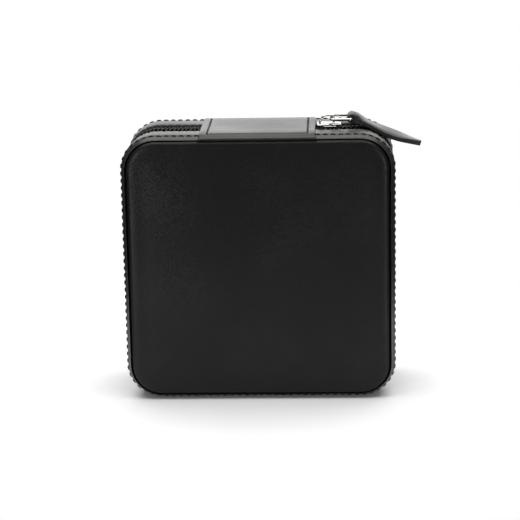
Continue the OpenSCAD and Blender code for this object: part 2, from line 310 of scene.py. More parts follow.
# ---------------------------------------------------------------- materials
class Nodes:
    """A short way to write a material's node tree."""

    def __init__(self, name):
        self.material = bpy.data.materials.new(name)
        self.material.use_nodes = True
        self.tree = self.material.node_tree
        self.tree.nodes.clear()
        self.output = self.tree.nodes.new("ShaderNodeOutputMaterial")
        self.shader = self.tree.nodes.new("ShaderNodeBsdfPrincipled")
        self.tree.links.new(self.shader.outputs[0], self.output.inputs[0])
        coordinate = self.tree.nodes.new("ShaderNodeTexCoord")
        self.place = coordinate.outputs["Object"]

    def set(self, **values):
        for name, value in values.items():
            self.shader.inputs[name.replace("_", " ")].default_value = value

    def link(self, source, target):
        self.tree.links.new(source, target)

    def add(self, kind, inputs=(), **settings):
        node = self.tree.nodes.new("ShaderNode" + kind)
        for name, value in settings.items():
            setattr(node, name, value)
        for key, value in dict(inputs).items():
            if isinstance(value, bpy.types.NodeSocket):
                self.link(value, node.inputs[key])
            else:
                node.inputs[key].default_value = value
        return node

    def stretched(self, scale, turn=(0, 0, 0)):
        node = self.add("Mapping", {"Vector": self.place, "Scale": scale, "Rotation": turn})
        return node.outputs[0]

    def noise(self, per_metre, detail=3.0, rough=0.5, at=None):
        return self.add("TexNoise", {"Vector": at or self.place, "Scale": per_metre,
                                     "Detail": detail, "Roughness": rough}).outputs["Fac"]

    def cells(self, per_metre, feature="SMOOTH_F1", at=None, smooth=0.6):
        node = self.add("TexVoronoi", {"Vector": at or self.place, "Scale": per_metre},
                        feature=feature)
        if feature == "SMOOTH_F1":
            node.inputs["Smoothness"].default_value = smooth
        return node.outputs["Distance"]

    def math(self, what, a, b=0.0):
        return self.add("Math", {0: a, 1: b}, operation=what).outputs[0]

    def remap(self, value, a, b, low, high):
        node = self.add("MapRange", {"Value": value, "From Min": a, "From Max": b,
                                     "To Min": low, "To Max": high})
        return node.outputs[0]

    def colours(self, value, *stops):
        ramp = self.add("ValToRGB", {"Fac": value})
        elements = ramp.color_ramp.elements
        while len(elements) < len(stops):
            elements.new(0.5)
        for element, (at, colour) in zip(elements, stops):
            element.position = at
            element.color = (*colour, 1)
        return ramp.outputs[0]

    def bumps(self, height, depth_mm, strength=1.0, under=None):
        inputs = {"Height": height, "Distance": depth_mm * MM, "Strength": strength}
        if under is not None:
            inputs["Normal"] = under
        return self.add("Bump", inputs).outputs[0]

    def colour(self, socket):
        self.link(socket, self.shader.inputs["Base Color"])

    def roughness(self, socket):
        self.link(socket, self.shader.inputs["Roughness"])

    def normal(self, socket):
        self.link(socket, self.shader.inputs["Normal"])


def grey(level, warm=0.0):
    return (level * (1 + warm), level, level * (1 - warm))


def leather(name, dark=0.0075, light=0.014, grain=1.0, gloss=0.40, shine=0.5, wrinkled=0.0,
            tint=(1.0, 1.01, 0.93, 1)):
    """Smooth finished black leather: small pebbles, fine pores, faint rubbed patches."""
    m = Nodes(name)
    m.set(Specular_IOR_Level=shine, Specular_Tint=tint)
    patches = m.noise(38, 4, 0.55)
    pebbles = m.cells(1500)
    pores = m.noise(5200, 2, 0.6)
    creases = m.cells(520, "DISTANCE_TO_EDGE", at=m.stretched((1, 1, 1.35), (0.3, 0.5, 0.2)))
    m.colour(m.colours(patches, (0.3, grey(dark, 0.02)), (0.75, grey(light, 0.03))))
    rubbed = m.remap(patches, 0.3, 0.75, gloss + 0.07, gloss - 0.04)
    m.roughness(m.math("ADD", rubbed, m.remap(pores, 0.3, 0.7, -0.03, 0.05)))
    fine = m.bumps(pores, 0.012, 0.5 * grain)
    grained = m.bumps(pebbles, 0.05, 0.42 * grain, fine)
    soft_creases = m.math("MINIMUM", creases, 0.12)
    surface = m.bumps(soft_creases, 0.12, 0.3 * grain, grained)
    if wrinkled:
        folds = m.noise(420, 4, 0.66, at=m.stretched((0.75, 1, 1.25), (0.0, 0.6, 0.0)))
        ridges = m.math("ABSOLUTE", m.math("SUBTRACT", folds, 0.5))
        there = m.remap(m.noise(24, 2), 0.42, 0.62, 0.25, 1.0)
        surface = m.bumps(m.math("MULTIPLY", m.math("MINIMUM", ridges, 0.08), there), 1.1, wrinkled, surface)
    m.normal(surface)
    return m.material


def mottled(name, shine, lumps, colours, rough, deep, strength=0.4):
    """An even, dull surface with a fine texture. lumps is their size and detail."""
    m = Nodes(name)
    m.set(Specular_IOR_Level=shine)
    spots = m.noise(*lumps)
    m.colour(m.colours(spots, *colours))
    m.roughness(m.remap(spots, 0.3, 0.7, *rough))
    m.normal(m.bumps(spots, deep, strength))
    return m.material


def suede(name, dark, light):
    """Short-nap cloth: soft mottling, brushed streaks and a nap that catches light."""
    m = Nodes(name)
    m.set(Specular_IOR_Level=0.15, Sheen_Weight=0.55, Sheen_Roughness=0.45,
          Sheen_Tint=(0.8, 0.8, 0.85, 1))
    brushed = m.noise(160, 4, 0.6, at=m.stretched((1, 1.6, 0.5)))
    nap = m.noise(7000, 2, 0.7)
    mixed = m.math("ADD", m.math("MULTIPLY", brushed, 0.7), m.math("MULTIPLY", nap, 0.3))
    m.colour(m.colours(mixed, (0.32, dark), (0.68, light)))
    m.roughness(m.remap(nap, 0.3, 0.7, 0.82, 0.97))
    m.normal(m.bumps(nap, 0.04, 0.7, m.bumps(brushed, 0.2, 0.12)))
    return m.material


def woven(name, dark, light, per_metre=2600, depth=0.06):
    """Woven tape: slanting ribs of a herringbone cloth over single threads."""
    m = Nodes(name)
    m.set(Specular_IOR_Level=0.2, Sheen_Weight=0.25, Sheen_Roughness=0.5)
    slanted = m.stretched((1, 1, 1), (0.0, 0.78, 0.6))
    ribs = m.add("TexWave", {"Vector": slanted, "Scale": per_metre / 6.3, "Distortion": 0.4},
                 wave_type="BANDS", bands_direction="X").outputs["Fac"]
    threads = m.noise(4200, 2, 0.6, at=m.stretched((1, 3.0, 1)))
    m.colour(m.colours(m.math("MULTIPLY", ribs, threads), (0.05, dark), (0.6, light)))
    m.roughness(m.remap(threads, 0.3, 0.7, 0.7, 0.9))
    m.normal(m.bumps(ribs, depth, 0.8, m.bumps(threads, 0.03, 0.5)))
    return m.material


def nylon(name):
    """Satin monofilament of the zip coil."""
    m = Nodes(name)
    m.set(Specular_IOR_Level=0.45)
    scuffs = m.noise(700, 3)
    m.colour(m.colours(scuffs, (0.35, grey(0.008)), (0.7, grey(0.016))))
    m.roughness(m.remap(scuffs, 0.3, 0.7, 0.36, 0.5))
    m.normal(m.bumps(m.noise(6000, 1), 0.01, 0.4))
    return m.material


def thread(name):
    """Twisted waxed thread: slanting plies."""
    m = Nodes(name)
    m.set(Specular_IOR_Level=0.25, Sheen_Weight=0.2, Sheen_Roughness=0.4)
    plies = m.add("TexWave", {"Vector": m.stretched((1, 1, 1), (0.5, 0.6, 0.7)), "Scale": 620,
                              "Distortion": 0.3}, wave_type="BANDS").outputs["Fac"]
    m.colour(m.colours(plies, (0.2, grey(0.006)), (0.9, grey(0.017))))
    m.roughness(m.remap(plies, 0, 1, 0.75, 0.6))
    m.normal(m.bumps(plies, 0.06, 0.8))
    return m.material


def bright_metal(name):
    """Nickel plate: bright, with faint polishing marks and slightly dulled patches."""
    m = Nodes(name)
    m.set(Metallic=1.0)
    marks = m.noise(5000, 2, 0.6, at=m.stretched((0.15, 1, 1)))
    dulled = m.noise(420, 3)
    m.colour(m.colours(dulled, (0.3, (0.50, 0.49, 0.47)), (0.7, (0.62, 0.61, 0.59))))
    m.roughness(m.math("ADD", m.remap(dulled, 0.3, 0.75, 0.13, 0.24),
                       m.remap(marks, 0.3, 0.7, -0.02, 0.05)))
    m.normal(m.bumps(marks, 0.01, 0.25, m.bumps(dulled, 0.06, 0.15)))
    return m.material


def silvered_glass():
    m = Nodes("mirror_glass")
    m.set(Metallic=1.0, Coat_Weight=1.0, Coat_Roughness=0.02)
    haze = m.noise(160, 3)
    m.colour(m.colours(haze, (0.3, (0.86, 0.88, 0.88)), (0.7, (0.90, 0.92, 0.92))))
    m.roughness(m.remap(haze, 0.3, 0.7, 0.015, 0.04))
    return m.material


def moulded(name, level):
    """Moulded plastic or pressed board."""
    shades = ((0.3, grey(level * 0.8, 0.03)), (0.7, grey(level * 1.15, 0.03)))
    return mottled(name, 0.3, (2600, 3, 0.65), shades, (0.6, 0.8), 0.04)


BAND_LEATHER = leather("band_leather", gloss=0.33, shine=0.45)
PANEL_LEATHER = leather("panel_leather", dark=0.0045, light=0.0085, gloss=0.35, shine=0.2,
                        grain=1.9, wrinkled=0.5, tint=(1.0, 0.97, 0.99, 1))
HINGE_LEATHER = leather("hinge_leather", gloss=0.33, grain=1.1, shine=0.36)
STRAP_LEATHER = leather("strap_leather", gloss=0.34, grain=0.8, shine=0.5)
EDGE = mottled("edge_paint", 0.4, (900, 3), ((0.3, grey(0.010)), (0.8, grey(0.020))), (0.42, 0.58), 0.05, 0.5)
LINING = suede("lining_suede", (0.075, 0.073, 0.078), (0.135, 0.132, 0.138))
ROLL_SUEDE = suede("roll_suede", (0.085, 0.083, 0.088), (0.15, 0.147, 0.153))
TAPE = woven("zip_tape_weave", grey(0.006), grey(0.018))
POCKET_CLOTH = suede("pocket_cloth", (0.07, 0.069, 0.074), (0.12, 0.118, 0.124))
ELASTIC = woven("pocket_elastic_weave", grey(0.02), grey(0.05), per_metre=3600)
COIL = nylon("zip_coil_nylon")
THREAD = thread("waxed_thread")
METAL = bright_metal("bright_metal")
MIRROR = silvered_glass()
FRAME_PLASTIC = moulded("frame_plastic", 0.06)
BOARD = moulded("pressed_board", 0.30)
FOAM = moulded("foam_sheet", 0.55)


def finish(obj, material, body=None, stands_for=()):
    obj.data.materials.clear()
    obj.data.materials.append(material)
    if body:
        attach(obj, body)
    if stands_for:
        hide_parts(*stands_for)
    return obj


# ---------------------------------------------------------------- leather bands
BAND_CURVE = spline([(SEAT_N + 0.05, RIM_T + 0.02), (HALF_W - 1.2, RIM_T), (HALF_W - 0.62, RIM_T + 0.28),
                     (HALF_W - 0.42, RIM_T + 1.2), (HALF_W - 0.36, 9.4), (HALF_W - 0.35, 11.6),
                     (HALF_W - 0.42, 14.0), (STITCH_N, STITCH_T), (STITCH_N - 0.08, 16.9),
                     (STITCH_N - 0.27, 17.45), (STITCH_N - 0.56, 17.95), (STITCH_N - 0.86, 18.45),
                     (STITCH_N - 1.04, BAND_END - 0.45), (PANEL_N + 0.36, BAND_END - 0.4),
                     (PANEL_N + 0.32, 18.8), (PANEL_N + 0.4, 17.9)], 4)
BAND_BACK = np.array([(TAPE_N + 0.4, 17.8), (SEAT_N + 0.1, 9.4)])
WHOLE = outline(0.40, STITCH_N)
STITCHES = round(WHOLE[3] / STITCH_PITCH)
PITCH = WHOLE[3] / STITCHES


def pinch(lengths):
    """1 at each stitch hole, 0 halfway along a stitch."""
    return np.cos(lengths / PITCH * math.pi) ** 8


def surface_n(t):
    """Height of the band's leather at t, away from the holes."""
    outer = BAND_CURVE[8:-8]
    return np.interp(t, outer[:, 1], outer[:, 0])


def side_swell(t):
    """How far the bands belly out at the left and right, where nothing bears on them."""
    return 0.5 * bump(t - 15.0, 5.0)


def band_section(lengths):
    curve = np.vstack([BAND_CURVE, BAND_BACK])
    n = np.broadcast_to(curve[:, 0], (len(lengths), len(curve))).copy()
    t = np.broadcast_to(curve[:, 1], n.shape).copy()
    outer = np.r_[np.ones(len(BAND_CURVE)), np.zeros(len(BAND_BACK))]
    groove = 0.10 * bump(t - STITCH_T, 0.45)
    drawn_in = 0.24 * bump(t - STITCH_T, 0.8) + 0.15 * bump(t - RIM_T - 1.4, 2.4)
    slow = 0.06 * np.sin(lengths / 23.0) * np.sin(lengths / 9.1 + 1.0)
    n += outer * (-groove - drawn_in * pinch(lengths)[:, None] + slow[:, None])
    return n + outer * side_swell(t) * WHOLE[1][:, :1] ** 2, t


def stitch_row(half):
    """One thread over each stretch between two holes, diving into the leather at its ends."""
    shape = Shape()
    points, normals, lengths, total = outline(0.2, STITCH_N)
    for k in range(STITCHES):
        at = (k + 0.5 + 0.33 * np.linspace(-1, 1, 9)) * PITCH % total
        index = np.searchsorted(lengths, at) % len(lengths)
        u = np.linspace(-1, 1, 9)
        n = STITCH_N + 0.13 - 0.45 * np.abs(u) ** 4 + side_swell(STITCH_T) * normals[index][:, 0] ** 2
        t = STITCH_T + 0.10 * u
        line = place(points[index], normals[index], n, t, half)
        shape.tube(line, 0.25 - 0.08 * u ** 4, sides=6, up=(0, 1, 0))
    return shape


def leather_band(half, name):
    shape = Shape()
    sweep(shape, WHOLE, band_section, half, closed=True)
    return shape.build(name)


for half, body in ((LID, "lid"), (BASE, "case_base")):
    name = "lid" if half == LID else "base"
    finish(leather_band(half, f"{name}_band_cover"), BAND_LEATHER, body,
           [f"{name}_band"])
    finish(stitch_row(half).build(f"{name}_band_threads"), THREAD, body,
           [f"{name}_band_stitching"])


# ---------------------------------------------------------------- leather panels
def panel_cover(half, step, name, belly):
    """Padded leather panel: a flat square inside rings that follow the rounded outline."""
    inner = np.linspace(-ARC_C, ARC_C, round(2 * ARC_C / step) + 1)
    per_arc = max(8, round(11 / step))
    roll = np.array([0.0, 0.04, 0.12, 0.25, 0.42, 0.62, 0.85, 1.1, 1.45, 1.9, 2.4])
    rings = np.r_[PANEL_N - roll, np.arange(PANEL_N - 2.4 - step, ARC_C + step * 0.5, -step)]
    shape = Shape()

    def face_t(n, x, z):
        inset = np.clip(PANEL_N - n, 0, None)
        rounded = 1.5 * (1 - quarter_round(inset / 1.8))
        welt = 0.10 * bump(inset - 2.9, 1.6) - 0.07 * bump(inset - 6.5, 2.8)
        swell = 0.03 * np.sin(x / 17.0 + 0.6) * np.sin(z / 14.0)
        pillow = belly * (1 - np.exp(-inset / 13.0))
        return HALF_D - rounded + pillow + 0.6 * welt + swell * smoothstep(inset, 1, 10)

    p0, normal, _, _ = outline(step, PANEL_N, len(inner) - 1, per_arc)
    rows = []
    for n in rings:
        flat = p0 + (n - ARC_C) * normal
        rows.append(np.c_[flat, np.full(len(flat), n)])
    rows.append(np.c_[p0, np.full(len(p0), ARC_C)])
    skirt = np.c_[p0 + (PANEL_N - ARC_C) * normal, np.full(len(p0), -1.0)]
    surface = np.array(rows)
    x, z = np.meshgrid(inner, inner, indexing="ij")
    middle = np.stack([x, z, np.maximum(np.abs(x), np.abs(z))], axis=-1)

    def lift(block):
        flat = block.reshape(-1, 3)
        t = face_t(flat[:, 2], flat[:, 0], flat[:, 1])
        y = ZIP_Y + half * t
        return np.stack([flat[:, 0], y, flat[:, 1]], axis=-1).reshape(block.shape)

    top = lift(surface)
    low = np.stack([skirt[:, 0], np.full(len(skirt), ZIP_Y + half * (HALF_D - 1.8)), skirt[:, 1]], axis=-1)
    shape.grid(np.concatenate([low[None], top]), close_cols=True)
    shape.grid(lift(middle))
    return shape.build(name)


panel = panel_cover(LID, 0.34, "lid_panel_cover", belly=1.2)
finish(panel, PANEL_LEATHER, "lid", ["lid_panel"])
back = panel_cover(BASE, 0.8, "base_panel_cover", belly=0.25)
finish(back, PANEL_LEATHER, "case_base", ["base_panel"])


# ---------------------------------------------------------------- leather hinge
BORDER = 2.9
HINGE_T = 0.55
HINGE_LIFT = 0.56
SEW_T = ZIP_Y - box_mm("lid_hinge_stitching")[0][1] - (stitch_high[1] - stitch_low[1]) / 2


def hinge_crease(x, t):
    """1 in the pressed line that the hinge panel is sewn along, fading to 0 beside it."""
    a, end = np.abs(t), HINGE_W / 2 - np.abs(x)
    inside = smoothstep(end, BORDER - 0.25, BORDER + 0.05)
    within = 1 - smoothstep(a, SEW_T - 0.1, SEW_T + 0.3)
    return np.maximum(bump(end - BORDER, 0.34) * within, bump(a - SEW_T, 0.38) * inside)


def hinge_surface(x, t):
    """Height of the hinge panel's outside at x and signed t."""
    a = np.abs(t)
    n = surface_n(np.clip(a, 8.3, None)) + HINGE_LIFT - 0.08 * bump(t, 5.0)
    end = HINGE_W / 2 - np.abs(x)
    edge = 0.42 * (1 - quarter_round(end / 0.5))
    fold = 0.14 * bump(end - 1.3, 1.0)
    swell = 0.10 * smoothstep(end, BORDER, BORDER + 1.6) * bump(t, 13.0)
    return n - edge - 0.6 * hinge_crease(x, t) + fold + swell


def hinge_panel():
    ends = np.r_[np.linspace(0, 0.5, 5), np.arange(0.8, BORDER - 0.75, 0.3),
                 np.arange(BORDER - 0.7, BORDER + 0.75, 0.14), np.arange(BORDER + 1, HINGE_W / 2, 0.5)]
    xs = np.r_[ends - HINGE_W / 2, HINGE_W / 2 - ends[::-1]]
    ts = np.r_[np.arange(0, SEW_T - 0.8, 0.3), np.arange(SEW_T - 0.7, SEW_T + 0.75, 0.14),
               np.arange(SEW_T + 0.9, 18.2, 0.3), np.linspace(18.3, BAND_END + 0.30, 9)]
    rows = []
    for x in xs:
        n = hinge_surface(np.full_like(ts, x), ts)
        drop = smoothstep(ts, 17.0, ts[-1]) * 0.3
        line = np.c_[ts, n - drop]
        under = min(PANEL_N + 0.5, line[-1, 1] - 0.1)
        turned = np.array([(ts[-1] - 0.05, under), (ts[-1] - 0.7, under - 0.05)])
        rows.append(np.vstack([line, turned]))
    rows = np.array(rows)
    lid = rows[:, ::-1].copy()
    lid[..., 0] *= -1
    both = np.concatenate([lid[:, :-1], rows], axis=1)
    wide = np.broadcast_to(xs[:, None], both.shape[:2])
    outer = np.stack([wide, ZIP_Y + both[..., 0], both[..., 1]], axis=-1)
    return thick_sheet(outer, "hinge_leather", HINGE_T, offset=-1)


def hinge_threads():
    """Stitches in the creased rectangle of the hinge panel."""
    shape = Shape()
    half_x = HINGE_W / 2 - BORDER
    spans = []
    for s in (-1, 1):
        count = round(2 * half_x / PITCH)
        xs = np.linspace(-half_x, half_x, count + 1)
        spans += [((a, s * SEW_T), (b, s * SEW_T)) for a, b in zip(xs, xs[1:])]
        count = round(2 * SEW_T / PITCH)
        ts = np.linspace(-SEW_T, SEW_T, count + 1)
        spans += [((s * half_x, a), (s * half_x, b)) for a, b in zip(ts, ts[1:])]
    u = np.linspace(-1, 1, 7)
    for a, b in spans:
        a, b = np.array(a), np.array(b)
        mid, reach = (a + b) / 2, (b - a) / 2 * 0.66
        flat = mid + u[:, None] * reach
        n = hinge_surface(flat[:, 0], flat[:, 1]) + 0.12 - 0.34 * np.abs(u) ** 4
        line = np.stack([flat[:, 0], ZIP_Y + flat[:, 1], n], axis=-1)
        shape.tube(line, 0.24 - 0.08 * u ** 4, sides=6)
    return shape.build("hinge_threads")


cover = finish(hinge_panel(), HINGE_LEATHER,
               stands_for=["base_hinge_panel", "lid_hinge_panel"])
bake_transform(cover)
sewn = finish(hinge_threads(), THREAD,
              stands_for=["base_hinge_stitching", "lid_hinge_stitching"])
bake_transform(sewn)


def hinge_inside():
    """Suede strip under the hinge leather, turned down to each frame's step."""
    line = spline([(-6.3, SEAT_N - 0.2), (-6.2, 49.0), (-5.3, 49.45), (-2.5, 49.5), (0, 49.5),
                   (2.5, 49.5), (5.3, 49.45), (6.2, 49.0), (6.3, SEAT_N - 0.2)], 5)
    xs = np.linspace(-HINGE_W / 2 + 2, HINGE_W / 2 - 2, 41)
    rows = np.array([[(x, ZIP_Y + t, n) for t, n in line] for x in xs])
    return thick_sheet(rows, "hinge_inner_lining", 0.4)


strip = finish(hinge_inside(), LINING,
               stands_for=["base_hinge_lining", "lid_hinge_lining"])
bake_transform(strip)


# ---------------------------------------------------------------- zip
SOFT_END = 30.0
TAPE_END_X = box_mm("lid_tape_end")[0][0]
COIL_END_X = box_mm("lid_coil_end")[0][0]
ZIP_PATH = outline(0.5, COIL_N)
on_top = np.abs(ZIP_PATH[1][:, 1] - 1) < 1e-6
first_corner = (ZIP_PATH[1] > 1e-6).all(axis=1)
angle = np.degrees(np.arctan2(ZIP_PATH[1][:, 1], ZIP_PATH[1][:, 0]))
under_hinge = on_top & (np.abs(ZIP_PATH[0][:, 0]) < TAPE_END_X)
loose = (on_top & (ZIP_PATH[0][:, 0] >= TAPE_END_X)) | (first_corner & (angle >= SOFT_END - 1))
loose |= on_top & (ZIP_PATH[0][:, 0] >= ARC_C - 0.01)
main = ~under_hinge & ~(loose & (angle > SOFT_END + 1))


def tape_section(lengths):
    """Tape from under the band, down into the gap and up under the coil."""
    line = spline([(0.62, TAPE_N + 0.12), (1.8, TAPE_N + 0.08), (3.4, TAPE_N - 0.02), (5.0, TAPE_N - 0.05),
                   (6.6, TAPE_N + 0.15), (8.8, TAPE_N + 0.2)], 3)
    back = line[::-1] - np.array([0, 0.32])
    ring = np.vstack([line + np.array([0, 0.14]), back])
    n = np.broadcast_to(ring[:, 1], (len(lengths), len(ring)))
    t = np.broadcast_to(ring[:, 0], n.shape)
    wave = 0.05 * np.sin(lengths / 3.1) * np.sin(lengths / 7.7)
    return n + wave[:, None] * (t > 3.2), t


def tape(path, half, name):
    shape = Shape()
    sweep(shape, path, tape_section, half, closed=False, caps=True)
    return shape.build(name)


COIL_PITCH = 1.52
FILAMENT = 0.34


def parting(p):
    """How far the slider's post holds the coil off the middle, until they meet at its nose."""
    return 1.15 * (p[:, 0] > 0) * (p[:, 1] > 0) * (1 - smoothstep(p[:, 0], 28.8, 31.0))


def coil(path, half, name):
    """Nylon coil: a flattened helix whose heads reach between those of the other coil,
    with the two sewing threads that hold it to its tape."""
    lengths = path[2]
    per_turn = 18
    count = int((lengths[-1] - lengths[0]) / COIL_PITCH * per_turn)
    at = np.linspace(lengths[0], lengths[-1], count)
    turn = 2 * math.pi * at / COIL_PITCH + (math.pi if half == LID else 0)
    p0, nn = along_path(path, at)
    outer, inner = 2.75, -0.42
    middle, reach = (outer + inner) / 2, (outer - inner) / 2
    c, s = np.cos(turn), np.sin(turn)
    t = middle + reach * np.sign(c) * np.abs(c) ** 0.75 + parting(p0)
    low, high = SEAT_N + 0.22, COIL_N - FILAMENT
    n = (low + high) / 2 + (high - low) / 2 * np.sign(s) * np.abs(s) ** 0.6
    shape = Shape()
    line = place(p0, nn, n, t, half)
    shape.tube(line, FILAMENT * (1 + 0.22 * bump(t - inner, 0.5)), sides=6, up=(0.01, 1, 0.02))
    rows = np.linspace(lengths[0], lengths[-1], int((lengths[-1] - lengths[0]) / 0.38))
    p1, n1 = along_path(path, rows)
    sewing = Shape()
    for offset in (1.35, 2.05):
        height = COIL_N + 0.02 - 0.16 * np.cos(2 * math.pi * rows / COIL_PITCH + offset) ** 2
        sewing.tube(place(p1, n1, height, offset + parting(p1), half), 0.13, sides=5, up=(0.01, 1, 0.02))
    return shape.build(name), sewing.build(name + "_sewing")


main_path = part_of(ZIP_PATH, main)
loose_path = part_of(ZIP_PATH, loose)
coil_main = part_of(ZIP_PATH, main & ~(on_top & (np.abs(ZIP_PATH[0][:, 0]) < TAPE_END_X + 0.4)))
coil_loose = part_of(ZIP_PATH, loose & ~(on_top & (ZIP_PATH[0][:, 0] < COIL_END_X)))

for half, body, name in ((LID, "lid", "lid"), (BASE, "case_base", "base")):
    finish(tape(main_path, half, f"{name}_tape_cloth"), TAPE, body, [f"{name}_zip_tape"])
    wire, sewing = coil(coil_main, half, f"{name}_coil_turns")
    finish(wire, COIL, body, [f"{name}_zip_coil"])
    finish(sewing, THREAD, body)
    end = finish(tape(loose_path, half, f"{name}_tape_end_cloth"), TAPE)
    wire, sewing = coil(coil_loose, half, f"{name}_coil_end_turns")
    finish(wire, COIL, stands_for=[f"{name}_coil_end"])
    finish(sewing, THREAD)
    for piece in (end, wire, sewing):
        if half == LID:
            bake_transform(piece)
        else:
            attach(piece, "case_base")
    if half == LID:
        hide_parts("lid_tape_end")


# ---------------------------------------------------------------- slider, link and strap
slider_low, slider_high = box_mm("slider_body")
PLATE_T = 0.95
PLATE_TOP = LINK_Z - 2.0 - PLATE_T
SLIDER_X = slider_low[0]
SLIDER_L = slider_high[0] - slider_low[0]
SLIDER_W = slider_high[1] - slider_low[1]
WIRE_R = 0.55
STRAP_NECK, STRAP_WIDE = 2.85, 4.35


def plate(shape, z0, z1, shoulder, nose):
    """Slider plate: wide shoulders at the hinge end and a narrower rounded nose."""
    u = np.linspace(0, 1, 29)
    x = SLIDER_X + SLIDER_L * (0.5 - 0.5 * np.cos(u * math.pi))
    w = nose + (shoulder - nose) * (1 - smoothstep(u, 0.25, 0.8))
    w = w * (0.42 + 0.58 * quarter_round(np.minimum(u, 1 - u) / 0.16))
    ring = np.vstack([np.c_[x, w], np.c_[x, -w][::-1]])
    middle = np.array([SLIDER_X + SLIDER_L / 2, 0])
    rows = []
    for share, z in ((0.93, z0), (1.0, z0 + 0.22), (1.0, z1 - 0.32), (0.97, z1 - 0.12), (0.90, z1)):
        flat = middle + (ring - middle) * share
        rows.append(np.c_[flat[:, 0], ZIP_Y + flat[:, 1], np.full(len(flat), z)])
    shape.grid(rows, close_cols=True, caps=True)


def slider():
    shape = Shape()
    plate(shape, PLATE_TOP, PLATE_TOP + PLATE_T, SLIDER_W / 2 - 0.8, SLIDER_W / 2 - 1.7)
    low = slider_low[2]
    plate(shape, low, low + 1.1, SLIDER_W / 2 - 0.05, SLIDER_W / 2 - 0.75)
    for s in (-1, 1):
        y0, y1 = ZIP_Y + s * (SLIDER_W / 2 - 1.7), ZIP_Y + s * (SLIDER_W / 2 - 0.9)
        rows = []
        for x in (SLIDER_X + 2.2, SLIDER_X + 2.5, SLIDER_X + SLIDER_L - 2.3, SLIDER_X + SLIDER_L - 1.8):
            deep = COIL_N + 0.08
            rows.append([(x, y0, deep), (x, y1, deep), (x, y1, PLATE_TOP + 0.3), (x, y0, PLATE_TOP + 0.3)])
        shape.grid(rows, close_cols=True, caps=True)
    a = np.arange(16) * math.pi / 8
    post = np.stack([SLIDER_X + 1.6 + 1.15 * np.cos(a), ZIP_Y + 0.28 * np.sin(a)], axis=-1)
    shape.grid([np.c_[post, np.full(16, z)] for z in (low + 0.8, PLATE_TOP + 0.2)], close_cols=True)
    bridge = spline([(LINK_X - 4.3, PLATE_TOP + 0.75), (LINK_X - 4.0, PLATE_TOP + 1.5),
                     (LINK_X - 3.1, LINK_Z + 0.35), (LINK_X - 1.6, LINK_Z + 0.98),
                     (LINK_X - 0.1, LINK_Z + 1.05), (LINK_X + 0.82, LINK_Z + 0.6),
                     (LINK_X + 1.05, LINK_Z - 0.5), (LINK_X + 1.02, PLATE_TOP + 0.75)], 6)
    out = upright(bridge)
    width = 1.45 + 0.35 * (np.linspace(-1, 1, len(bridge)) ** 4)
    rows = []
    for p, o, w in zip(bridge, out, width):
        ring = []
        for y, d in ((-1, -0.1), (-0.86, 0.26), (-0.4, 0.36), (0.4, 0.36), (0.86, 0.26), (1, -0.1),
                     (0.86, -0.3), (0, -0.36), (-0.86, -0.3)):
            q = p + o * d
            ring.append((q[0], ZIP_Y + y * w, q[1]))
        rows.append(ring)
    shape.grid(rows, close_cols=True, caps=True)
    return shape.build("slider_casting")


finish(slider(), METAL, "zip_slider", ["slider_body"])


LINK_LEAN = math.tan(math.radians(4))


def link():
    """Bright wire bent to a rounded rectangle and butted in its near bar."""
    half = box_mm("link_wire")[1][1] - ZIP_Y - WIRE_R
    x0, x1, r = LINK_X, FAR_X, 1.1
    line = []
    for cx, cy, start in ((x1 - r, half - r, 0), (x0 + r, half - r, 90),
                          (x0 + r, r - half, 180), (x1 - r, r - half, 270)):
        for k in range(9):
            a = math.radians(start + 90 * k / 8)
            across = cy + r * math.sin(a)
            line.append((cx + r * math.cos(a), ZIP_Y + across, LINK_Z + LINK_LEAN * across))
    line = resample(line + line[:1], 0.35)[:-1]
    shape = Shape()
    shape.tube(line, WIRE_R, sides=14, closed=True)
    return shape.build("link_bent_wire")


finish(link(), METAL, "pull_link", ["link_wire"])


def strap():
    """Middle line of the two glued layers from the link to the tip, with its widths."""
    bent = [(0.5, 0.1), (3.7, -1.4), (8.9, -3.95), (13.0, -5.75), (17.4, -7.4), (21.2, -8.7), (25.2, -9.9)]
    centre = resample(spline([(FAR_X + x, LINK_Z + z) for x, z in bent], 8), 0.4)
    u = np.linspace(0, 1, len(centre))
    length = np.linalg.norm(np.diff(centre, axis=0), axis=1).sum()
    s = u * length
    up = upright(centre)
    half_w = STRAP_NECK + (STRAP_WIDE - STRAP_NECK) * smoothstep(s, 1.2, 4.0) + 0.2 * smoothstep(s, 6, 20)
    half_w = half_w - 0.6 * (1 - quarter_round((length - s) / 0.8))
    thick = 0.85 + 0.75 * bump(s - 0.6, 2.6) + 0.12 * smoothstep(s, 14, length)
    return centre, up, s, length, half_w, thick


